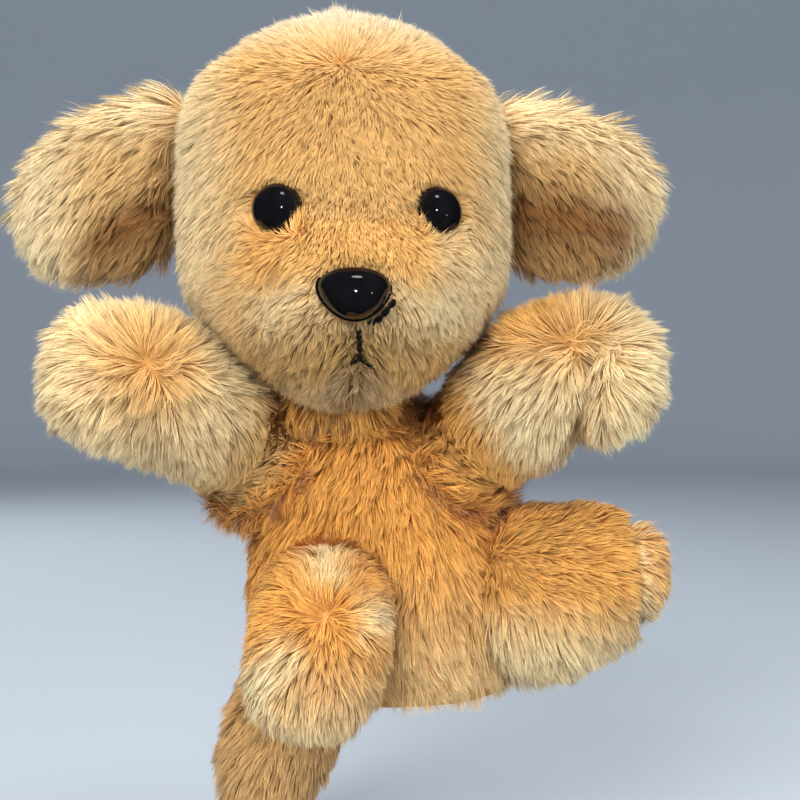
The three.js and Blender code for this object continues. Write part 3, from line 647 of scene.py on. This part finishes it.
def arm_spec(side):
    shoulder, paw, whorl = SHOULDER[side], PAW[side], PAW_WHORL[side]
    along = unit(paw - shoulder)
    reach = np.linalg.norm(paw - shoulder)

    def spec(points, normals):
        z = points[:, 2]
        share = ((points - shoulder) @ along) / reach
        axis = shoulder + share[:, None] * along * reach
        outward = ((points - axis) * normals).sum(1) > -2
        spread = unit(points - whorl)
        flow = mix(np.tile(along, (len(points), 1)), spread, smooth(share, 0.1, 0.4)[:, None] * 0.85)
        away = np.linalg.norm(points - whorl, axis=1)
        seam = np.zeros(len(points))
        if side == "left":
            # The hair hangs from the top of the paw to both sides of the seam.
            seam = palm_seam(points)
            flow[:, 2] -= 0.7 * smooth(75 - z, 2, 9)
            flow[:, 0] += 0.6 * seam * np.sign(points[:, 0] - PALM_SEAM_X)
            pale = smooth(71 - z, 0, 10) * smooth(share, 0.3, 0.55) + smooth(share, 0.75, 1.05)
            first = mix(ORANGE, GOLD, 0.5)
        else:
            flow[:, 2] -= 0.15 + 0.4 * smooth(away, 8, 16)
            pale = 0.8 * smooth(share, 0.2, 0.5) * smooth(away, 4.5, 12)
            first = mix(GOLD, CREAM, 0.2)
        root, tip = palette(first, CREAM, np.clip(pale, 0, 1))
        if side == "left":
            # The top of the paw is darkened: painted shade.
            top_shade = (1 - 0.36 * smooth(z, 65, 74))[:, None]
            root, tip = root * top_shade, tip * top_shade
        # Along the palm seam the roots turn brown: painted shade in the groove.
        root, tip = mix(root, SHADE_BROWN[0], 0.6 * seam[:, None]), mix(tip, BEIGE_IN_SHADE[1], 0.8 * seam[:, None])
        length = 4.4 + 2.6 * smooth(share, 0.1, 0.5)
        return {
            "flow": flow, "length": length * (1 - 0.55 * seam), "lean": np.full(len(points), 58.0),
            "root": root, "tip": tip, "gain": np.full(len(points), 1.05),
            "grip": np.full(len(points), 0.82), "weight": outward & (share > -0.02), "slot": "golden_plush",
        }

    return spec


FOOT_SEAM_X = 47.5


def foot_seam(points):
    """How near a point is to the seam between the left leg and its foot."""
    x, y, z = points.T
    return np.exp(-(((x - FOOT_SEAM_X + 0.08 * (z - 24)) / 1.4) ** 2)) * smooth(-y, 0, 6)


def leg_left_spec(points, normals):
    x, z = points[:, 0], points[:, 2]
    share = smooth(x, 22, 54)
    under = smooth(24 - z, 0, 10)
    flow = np.stack([0.75 + 0.3 * share, np.zeros(len(x)), -0.35 - 1.5 * under], 1)
    seam = foot_seam(points)
    end = smooth(x, FOOT_SEAM_X, FOOT_SEAM_X + 3)
    flow[:, 2] -= 0.9 * end
    pale = np.clip(0.85 * under + 0.7 * seam + 0.25 * end, 0, 1)
    root, tip = palette(mix(ORANGE, GOLD, 0.5), CREAM, pale)
    axis = np.array([36.0, -7.0, 23.0])
    return {
        "flow": flow, "length": 4.2 + 3.0 * under + 0.8 * end, "lean": 62 - 4 * under,
        "root": root, "tip": tip, "gain": np.full(len(x), 1.25), "grip": 0.6 + 0.25 * under,
        "weight": ((points - axis) * normals).sum(1) > -6, "slot": "golden_plush",
    }


SOLE_WHORL = np.array([-10.0, -38.0, 20.0])
SOLE_PARTINGS = (88, 3, 222)  # degrees, anticlockwise from +X


def leg_right_spec(points, normals):
    x, y, z = points.T
    down = smooth(20 - z, 0, 16)
    spread = unit(points - SOLE_WHORL)
    flow = mix(np.tile([0.1, -0.5, -0.8], (len(x), 1)), spread, 0.8 * smooth(-y, 22, 32)[:, None])
    flow[:, 2] -= 0.2 + 0.3 * down
    # Pale partings run out from the middle of the sole in three directions.
    across = points - SOLE_WHORL
    parting = np.zeros(len(x))
    for turn in SOLE_PARTINGS:
        way = np.array([math.cos(math.radians(turn)), 0, math.sin(math.radians(turn))])
        ahead = across @ way
        aside = np.abs(across[:, 0] * way[2] - across[:, 2] * way[0])
        parting = np.maximum(parting, np.exp(-((aside / 2.6) ** 2)) * smooth(ahead, 2, 6))
    pale = np.clip(0.75 * down + 0.85 * parting * smooth(-y, 20, 28), 0, 1)
    root, tip = palette(mix(ORANGE, GOLD, 0.3), CREAM, pale)
    axis = np.array([-12.0, -26.0, 13.0])
    return {
        "flow": flow, "length": 4.6 + 1.8 * down, "lean": np.full(len(x), 58.0),
        "root": root, "tip": tip, "gain": np.full(len(x), 1.05), "grip": np.full(len(x), 0.8),
        "weight": ((points - axis) * normals).sum(1) > -6, "slot": "golden_plush",
    }


def tail_spec(points, normals):
    count = len(points)
    flow = np.tile([-0.3, 0.1, -1.0], (count, 1))
    down = smooth(14 - points[:, 2], 0, 40)
    # The tail's tan and its small share of cream are partly painted shade.
    root, tip = palette(mix(ORANGE, TAN_IN_SHADE, 0.75), CREAM, 0.25 * down)
    return {
        "flow": flow, "length": 5.5 + 1.5 * down, "lean": np.full(count, 62.0),
        "root": root, "tip": tip, "gain": np.full(count, 1.0), "grip": np.full(count, 0.8),
        "weight": np.ones(count), "slot": "golden_plush",
    }


# ---------------------------------------------------------------- the parts
def held_nowhere(points):
    return np.zeros(len(points))


def held_head(points):
    p = head_local(points)
    seam = np.exp(-(((np.abs(p[:, 0]) - 9.2) / 1.2) ** 2)) * (p[:, 2] > -14)
    neck = np.linalg.norm(points - NECK, axis=1) < 15
    sockets = (np.abs(p[:, 0]) < 22) & (np.abs(p[:, 2] - EYE_Z) < 7) & (p[:, 1] < -10)
    nose = np.hypot(p[:, 0] - NOSE_X, p[:, 2] - NOSE_Z) < 9
    return np.maximum(seam * 0.9, (neck | sockets | nose) * 1.0)


def held_arm(side):
    def held(points):
        return (np.linalg.norm(points - SHOULDER[side], axis=1) < 14) * 1.0

    return held


def held_leg_left(points):
    return (points[:, 0] < 25) * 1.0


def held_leg_right(points):
    return (points[:, 1] > -20) * 1.0


def held_tail(points):
    return (points[:, 2] > 8) * 1.0


CREASES = {"arm_left": (palm_seam, 5.0), "leg_left": (foot_seam, 2.2)}  # seam and its depth in mm


def creased(mesh, seam, depth):
    """Draws a skin in along a seam."""
    points, _, normals = triangles_of(mesh)
    set_points(mesh, points - normals * (seam(points) * depth)[:, None])


PARTS = [
    # name, body, nodes, voxel, rounds, held, fill, fur spec, hairs per mm2
    ("head", "head", ["head_muzzle_panel", "head_crown_gusset", "head_left_panel", "head_right_panel",
                      "head_stuffing"], 1.4, 7, held_head, 0.9, head_spec, 14.0),
    ("ear_left", "ear_left", ["ear_left_front_panel", "ear_left_back_panel"], 0.9, 5, held_nowhere, 0.3,
     ear_spec("left"), 12.0),
    ("ear_right", "ear_right", ["ear_right_front_panel", "ear_right_back_panel"], 0.9, 5, held_nowhere, 0.3,
     ear_spec("right"), 12.0),
    ("torso", "body", ["belly_panel", "back_left_panel", "back_right_panel"], 0.9, 10, None, 0.4,
     body_spec, 11.0),
    ("arm_left", "arm_left", ["arm_left_front_panel", "arm_left_back_panel", "arm_left_stuffing"],
     1.1, 6, held_arm("left"), 0.6, arm_spec("left"), 12.0),
    ("arm_right", "arm_right", ["arm_right_front_panel", "arm_right_back_panel", "arm_right_stuffing"],
     1.1, 6, held_arm("right"), 0.6, arm_spec("right"), 12.0),
    ("leg_left", "leg_left", ["leg_left_front_panel", "leg_left_back_panel", "foot_left_end_panel",
                              "leg_left_stuffing"], 1.1, 6, held_leg_left, 0.8, leg_left_spec, 12.0),
    ("leg_right", "leg_right", ["leg_right_front_panel", "leg_right_back_panel", "foot_right_end_panel",
                                "leg_right_stuffing"], 1.1, 6, held_leg_right, 0.8, leg_right_spec, 12.0),
    ("tail", "tail", ["tail_left_panel", "tail_right_panel", "tail_stuffing"], 1.1, 6, held_tail, 0.7,
     tail_spec, 11.0),
]

for index, (name, body, nodes, voxel, rounds, held, fill, spec, density) in enumerate(PARTS):
    skin = remeshed(name + "_skin", nodes, voxel)
    relax(skin, rounds)
    if held:
        skin = puffed(name + "_skin", skin, held)
        relax(skin, 2)
    if name in CREASES:
        creased(skin, *CREASES[name])
    skin = subdivided(name + "_skin", skin)
    cloth_piece(name + "_skin", body, skin, CLOTH, nodes)
    fur(name + "_fur", body, triangles_of(skin), spec, density, 100 * index + 7)


def closed_faces(sides, around):
    """The faces of a closed band of sides sections, each of around points."""
    faces = []
    for i in range(sides):
        for k in range(around):
            j, m = (i + 1) % sides, (k + 1) % around
            faces.append((i * around + k, j * around + k, j * around + m, i * around + m))
    return faces


def ring_skin(name, at, axis, radius, thick, sides=72, around=10, folds=0, fold_depth=0.0):
    """A ring of cloth round an axis, gathered into folds."""
    axis = unit(np.array(axis, float))
    side = unit(np.cross(axis, [0.3, 1.0, 0.2]))
    up = np.cross(axis, side)
    turn = np.linspace(0, 2 * math.pi, sides, endpoint=False)
    roll = np.linspace(0, 2 * math.pi, around, endpoint=False)
    out = np.cos(turn)[:, None] * side + np.sin(turn)[:, None] * up
    wide = radius + fold_depth * np.sin(folds * turn)
    verts = []
    for i in range(sides):
        for r in roll:
            verts.append(at + out[i] * (wide[i] + thick[0] * math.cos(r)) + axis * thick[1] * math.sin(r))
    return mesh_of(name, verts, closed_faces(sides, around))


def cuff_skin(name, at, axis, radius, thick, first, last, sides=72, rows=10):
    """A band of cloth that is part of a ball, from first to last degrees from its axis."""
    axis = unit(np.array(axis, float))
    side = unit(np.cross(axis, [0.3, 1.0, 0.2]))
    up = np.cross(side, axis)
    turn = np.linspace(0, 2 * math.pi, sides, endpoint=False)
    out = np.cos(turn)[:, None] * side + np.sin(turn)[:, None] * up
    tilt = np.radians(np.linspace(first, last, rows))
    profile = [(radius, t) for t in tilt] + [(radius - thick, t) for t in tilt[::-1]]
    verts = [at + r * (o * math.sin(t) + axis * math.cos(t)) for o in out for r, t in profile]
    return mesh_of(name, verts, closed_faces(sides, len(profile)))


def ruff_spec(at, axis, colours, length):
    axis = unit(np.array(axis, float))

    def spec(points, normals):
        away = points - at
        away = unit(away - axis * (away @ axis)[:, None])
        outside = (normals * away).sum(1) > -0.1
        flow = away * 0.35 + axis
        root, tip = palette(colours, GOLD, np.full(len(points), 0.4))
        return {
            "flow": flow, "length": np.full(len(points), length), "lean": np.full(len(points), 54.0),
            "root": root, "tip": tip, "gain": np.full(len(points), 1.0), "grip": np.full(len(points), 0.7),
            "weight": outside * 1.0, "slot": "golden_plush",
        }

    return spec


RUFF = np.array([-9.0, 0.0, 57.6])
CUFF_RADIUS, CUFF_THICK = 11.4, 0.8
ruff = ring_skin("neck_ruff", RUFF, [0, 0, 1], 10.6, (1.1, 2.8), folds=14, fold_depth=0.5)
cloth_piece("neck_ruff", "neck", ruff, CLOTH, [])
fur("neck_fur", "neck", triangles_of(ruff), ruff_spec(RUFF, [0, 0, -1], ORANGE, 8.0), 14.0, 2001)
collar = cuff_skin("neck_collar", NECK, [0, 0, 1], CUFF_RADIUS, CUFF_THICK, 66, 94)
cloth_piece("neck_collar", "neck", collar, CLOTH, [])
fur("neck_collar_fur", "neck", triangles_of(collar), ruff_spec(NECK, [0, 0, -1], GOLD, 5.0), 14.0, 2051)
for side, seed in (("left", 2101), ("right", 2201)):
    at = SHOULDER[side]
    out = ARM_WAY[side]
    body = f"shoulder_{side}"
    ring = ring_skin(f"{body}_seam", at, out, 11.2, (0.75, 0.75), folds=26, fold_depth=0.12)
    cloth_piece(f"{body}_seam", body, ring, CLOTH, [f"arm_{side}_seam_ring"])
    fur(f"{body}_fur", body, triangles_of(ring), ruff_spec(at, out, ORANGE, 6.5), 14.0, seed)
    cuff = cuff_skin(f"{body}_cuff", at, out, CUFF_RADIUS, CUFF_THICK, 93, 132)
    cloth_piece(f"{body}_cuff", body, cuff, CLOTH, [])
    fur(f"{body}_cuff_fur", body, triangles_of(cuff), armhole_spec, 11.0, seed + 50)


# ---------------------------------------------------------------- hidden cloth: hem, lining and finger spaces
for name, body, voxel, material, slot in (
    ("hem_band", "body", 0.7, CLOTH, "golden_plush"),
    ("sleeve_lining", "body", 0.4, KNIT, "knit_lining"),
    ("head_finger_tube", "head", 0.4, KNIT, "knit_lining"),
    ("arm_left_finger_pocket", "arm_left", 0.4, KNIT, "knit_lining"),
    ("arm_right_finger_pocket", "arm_right", 0.4, KNIT, "knit_lining"),
):
    mesh = remeshed(name + "_cloth", [name], voxel)
    relax(mesh, 3)
    cloth_piece(name + "_cloth", body, mesh, material, [name])


# ---------------------------------------------------------------- eyes, nose and threads
def fitting_axis(name):
    """The end of a fitting's post, the way it faces and how long it is, from its CAD node."""
    verts = np.array([v.co[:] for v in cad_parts[name].data.vertices]) / MM
    far = np.linalg.norm(verts - verts.mean(0), axis=1)
    post = verts[far > 0.93 * far.max()].mean(0)
    apex = verts[np.argmax(np.linalg.norm(verts - post, axis=1))]
    return post, unit(apex - post), np.linalg.norm(apex - post)


def moulding(name, outline, profile, sides=96):
    """A moulding about its CAD node's axis: outline(turn) is its rim, and profile its (share, height)."""
    post, axis, long = fitting_axis(name)
    side = unit(np.cross(np.array([0.0, 0.0, 1.0]), axis))
    up = np.cross(axis, side)
    height = max(h for _, h in profile)
    seat = post + axis * (long - height)
    turn = np.linspace(0, 2 * math.pi, sides, endpoint=False)
    rim = np.array([outline(t) for t in turn])
    verts = []
    for share, level in profile:
        for u, v in rim * share:
            verts.append(seat + side * u + up * v + axis * level)
    rings = len(profile)
    faces = [tuple(range(sides))[::-1], tuple((rings - 1) * sides + i for i in range(sides))]
    for r in range(rings - 1):
        for i in range(sides):
            j = (i + 1) % sides
            faces.append((r * sides + i, r * sides + j, (r + 1) * sides + j, (r + 1) * sides + i))
    obj = add_object(name + "_moulding", mesh_of(name + "_moulding", verts, faces), BLACK)
    obj.data.polygons.foreach_set("use_smooth", np.ones(len(obj.data.polygons), bool))
    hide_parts(name)
    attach(obj, "head")


def dome(radius_share, height, power, steps=18):
    """(share of the rim, height) from the rim to the top."""
    turn = np.linspace(0, math.pi / 2, steps)[:-1]
    points = [(radius_share * math.cos(t) ** (2 / power), height * math.sin(t) ** (2 / power)) for t in turn]
    return points + [(0.02 * radius_share, height)]


def round_outline(radius):
    return lambda turn: (radius * math.cos(turn), radius * math.sin(turn))


NOSE_HALF_WIDTH, NOSE_HALF_HEIGHT, NOSE_DEPTH = 6.2, 4.6, 4.4
EYE_RADIUS, EYE_DEPTH = 4.5, 3.7
POST_RADIUS = 1.3
POST_END = -10.0


def nose_outline(turn):
    """A rounded triangle, widest near its top."""
    u, v = math.cos(turn), math.sin(turn)
    return NOSE_HALF_WIDTH * u * (1 + 0.2 * v), NOSE_HALF_HEIGHT * v + 0.3 * u * u


eye_post = POST_RADIUS / EYE_RADIUS
eye_back = [(eye_post, POST_END), (eye_post, -0.8), (0.93, -0.7), (1.0, -0.35)]
for eye in ("eye_left", "eye_right"):
    moulding(eye, round_outline(EYE_RADIUS), eye_back + dome(1.0, EYE_DEPTH, 2.0))
flange = [(0.25, POST_END), (0.25, -0.8), (0.98, -0.7), (1.03, -0.5), (1.03, -0.1), (0.99, 0.05)]
moulding("nose", nose_outline, flange + dome(0.97, NOSE_DEPTH, 2.2))


THREAD_STEPS = 40
PLY_SIDES = 8
RADII_PER_TURN = 7


def twisted_thread(name, route, radius, nodes):
    """Two plies of thread laid round each other along a route through points in the head's frame."""
    route = np.array(route, float)
    knots = np.linspace(0, 1, len(route))
    share = np.linspace(0, 1, THREAD_STEPS)
    path = np.stack([np.interp(share, knots, route[:, k]) for k in range(3)], 1)
    for _ in range(6):
        path[1:-1] = (path[:-2] + 2 * path[1:-1] + path[2:]) / 4
    path = from_head(path) + HEAD_CENTRE
    tangent = unit(np.gradient(path, axis=0))
    side = unit(np.cross(tangent, [0.1, 1.0, 0.1]))
    up = np.cross(side, tangent)
    length = np.linalg.norm(np.diff(path, axis=0), axis=1).sum()
    verts, faces = [], []
    for ply in (0, math.pi):
        start = len(verts)
        twist = share * length / (radius * RADII_PER_TURN) * 2 * math.pi + ply
        middle = path + (side * np.cos(twist)[:, None] + up * np.sin(twist)[:, None]) * radius * 0.5
        for i in range(len(path)):
            thin = radius * 0.62 * (0.55 if i in (0, len(path) - 1) else 1)
            for t in np.linspace(0, 2 * math.pi, PLY_SIDES, endpoint=False):
                verts.append(middle[i] + (side[i] * math.cos(t) + up[i] * math.sin(t)) * thin)
        for i in range(len(path) - 1):
            for k in range(PLY_SIDES):
                m = (k + 1) % PLY_SIDES
                a, b = start + i * PLY_SIDES, start + (i + 1) * PLY_SIDES
                faces.append((a + k, b + k, b + m, a + m))
        last = start + (len(path) - 1) * PLY_SIDES
        faces.append(tuple(start + k for k in range(PLY_SIDES)))
        faces.append(tuple(last + k for k in reversed(range(PLY_SIDES))))
    obj = add_object(name, mesh_of(name, verts, faces), THREAD)
    obj.data.polygons.foreach_set("use_smooth", np.ones(len(obj.data.polygons), bool))
    if nodes:
        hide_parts(*nodes)
    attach(obj, "head")


face_skin = bpy.data.objects["head_skin"].data
face_points, face_tris, _ = triangles_of(face_skin)
face_tree = BVHTree.FromPolygons([Vector(p) for p in head_local(face_points)], [tuple(t) for t in face_tris])


def on_face(x, z, lift):
    """A point of the head's frame in front of the face, lift above its cloth."""
    hit, normal, _, _ = face_tree.ray_cast(Vector((x, -80.0, z)), Vector((0.0, 1.0, 0.0)))
    return list(hit + normal * lift)


LINE_LIFT = 1.8
mouth = [on_face(-0.4, -23.0, LINE_LIFT), on_face(0.0, -25.2, LINE_LIFT), on_face(0.4, -27.6, LINE_LIFT)]
twisted_thread("mouth_line", mouth, 0.48, ["mouth_stitch"])
for name, outs in (("mouth_fork_right", (0.0, -0.8, -1.4)), ("mouth_fork_left", (0.0, 1.5, 2.7))):
    fork = [on_face(0.4 + out, -27.4 - 0.55 * abs(out), LINE_LIFT) for out in outs]
    twisted_thread(name, fork, 0.34, [])
loose = [on_face(0.9, -22.9, 0.6), on_face(2.9, -21.4, 1.6), on_face(4.9, -18.6, 2.8)]
twisted_thread("nose_thread", loose, 0.5, ["nose_thread_end"])

for name, material in (
    ("eye_left_washer", PLASTIC), ("eye_right_washer", PLASTIC), ("nose_washer", PLASTIC),
    ("neck_gathering_thread", GOLD_THREAD),
):
    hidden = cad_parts[name]
    hidden.data.materials.clear()
    hidden.data.materials.append(material)


# ---------------------------------------------------------------- studio
def area_light(name, place, target, size, power, colour=(1, 1, 1), glossy=False, diffuse=True):
    light = bpy.data.lights.new(name, "AREA")
    light.shape = "DISK"
    light.size = size
    light.energy = power
    light.color = colour
    obj = bpy.data.objects.new(name, light)
    bpy.context.scene.collection.objects.link(obj)
    obj.location = place
    obj.visible_glossy = glossy
    obj.visible_diffuse = diffuse
    obj.rotation_euler = (Vector(target) - Vector(place)).to_track_quat("-Z", "Y").to_euler()


def studio_floor(level):
    """A pale floor that curves up into a wall all the way round."""
    reach, bend, sides = 1.6, 0.7, 96
    arc = np.linspace(0, math.pi / 2, 16)
    rings = [(0.4, 0.0), (1.0, 0.0)]
    rings += [(reach + bend * math.sin(t), bend * (1 - math.cos(t))) for t in arc] + [(reach + bend, 1.8)]
    verts, faces = [(0, 0, level)], []
    for radius, height in rings:
        for t in np.linspace(0, 2 * math.pi, sides, endpoint=False):
            verts.append((radius * math.cos(t), radius * math.sin(t), level + height))
    for i in range(sides):
        j = (i + 1) % sides
        faces.append((0, 1 + i, 1 + j))
        for r in range(len(rings) - 1):
            a, b = 1 + r * sides, 1 + (r + 1) * sides
            faces.append((a + i, b + i, b + j, a + j))
    mesh = bpy.data.meshes.new("studio_floor")
    mesh.from_pydata(verts, [], faces)
    mesh.polygons.foreach_set("use_smooth", np.ones(len(mesh.polygons), bool))
    floor = add_object("studio_floor", mesh, principled("pale_floor", (0.46, 0.51, 0.57), 0.85))
    floor.visible_glossy = False  # so that the eyes and the nose stay dark
    floor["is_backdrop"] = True


studio_floor(float(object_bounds()[0][2]) - 0.002)
world = bpy.data.worlds.new("studio")
world.use_nodes = True
world.node_tree.nodes["Background"].inputs["Color"].default_value = (0.9, 0.94, 1.0, 1)
world.node_tree.nodes["Background"].inputs["Strength"].default_value = 0.6
scene = bpy.context.scene
scene.world = world
world.cycles_visibility.glossy = False  # so that the eyes and the nose stay dark
scene.view_settings.view_transform = "Standard"
scene.view_settings.look = "None"
WARM_WHITE = (1.0, 0.98, 0.94)
middle = (0, 0, 0.06)
area_light("overhead", (0.10, -0.16, 0.80), middle, 0.5, 3.0, (1.0, 0.96, 0.9))
area_light("front", (-0.25, -0.75, 0.45), middle, 0.45, 9.2, WARM_WHITE)
area_light("fill", (0.50, -0.50, 0.15), middle, 0.5, 2.3, WARM_WHITE)
area_light("behind", (-0.5, 0.7, 0.6), middle, 0.5, 4.0, (0.95, 0.98, 1.0))
# These three only shine in the glossy eyes and nose.
face = (0, 0, 0.09)
area_light("sheen", (0.12, -0.30, 0.70), face, 0.14, 0.5, glossy=True, diffuse=False)
area_light("glint", (0.10, -0.52, 0.17), face, 0.04, 0.35, glossy=True, diffuse=False)
area_light("spark", (0.45, -0.40, 0.02), face, 0.03, 0.06, glossy=True, diffuse=False)

FOCAL_OVER_WIDTH = 1.625
camera = bpy.data.cameras.new("camera")
camera.sensor_width = 36
camera.lens = camera.sensor_width * FOCAL_OVER_WIDTH
camera.clip_start = 0.01
view = bpy.data.objects.new("camera", camera)
scene.collection.objects.link(view)
view.location = (0.003, -0.260, 0.058)
view.rotation_euler = (math.radians(90), 0, 0)
scene.camera = view
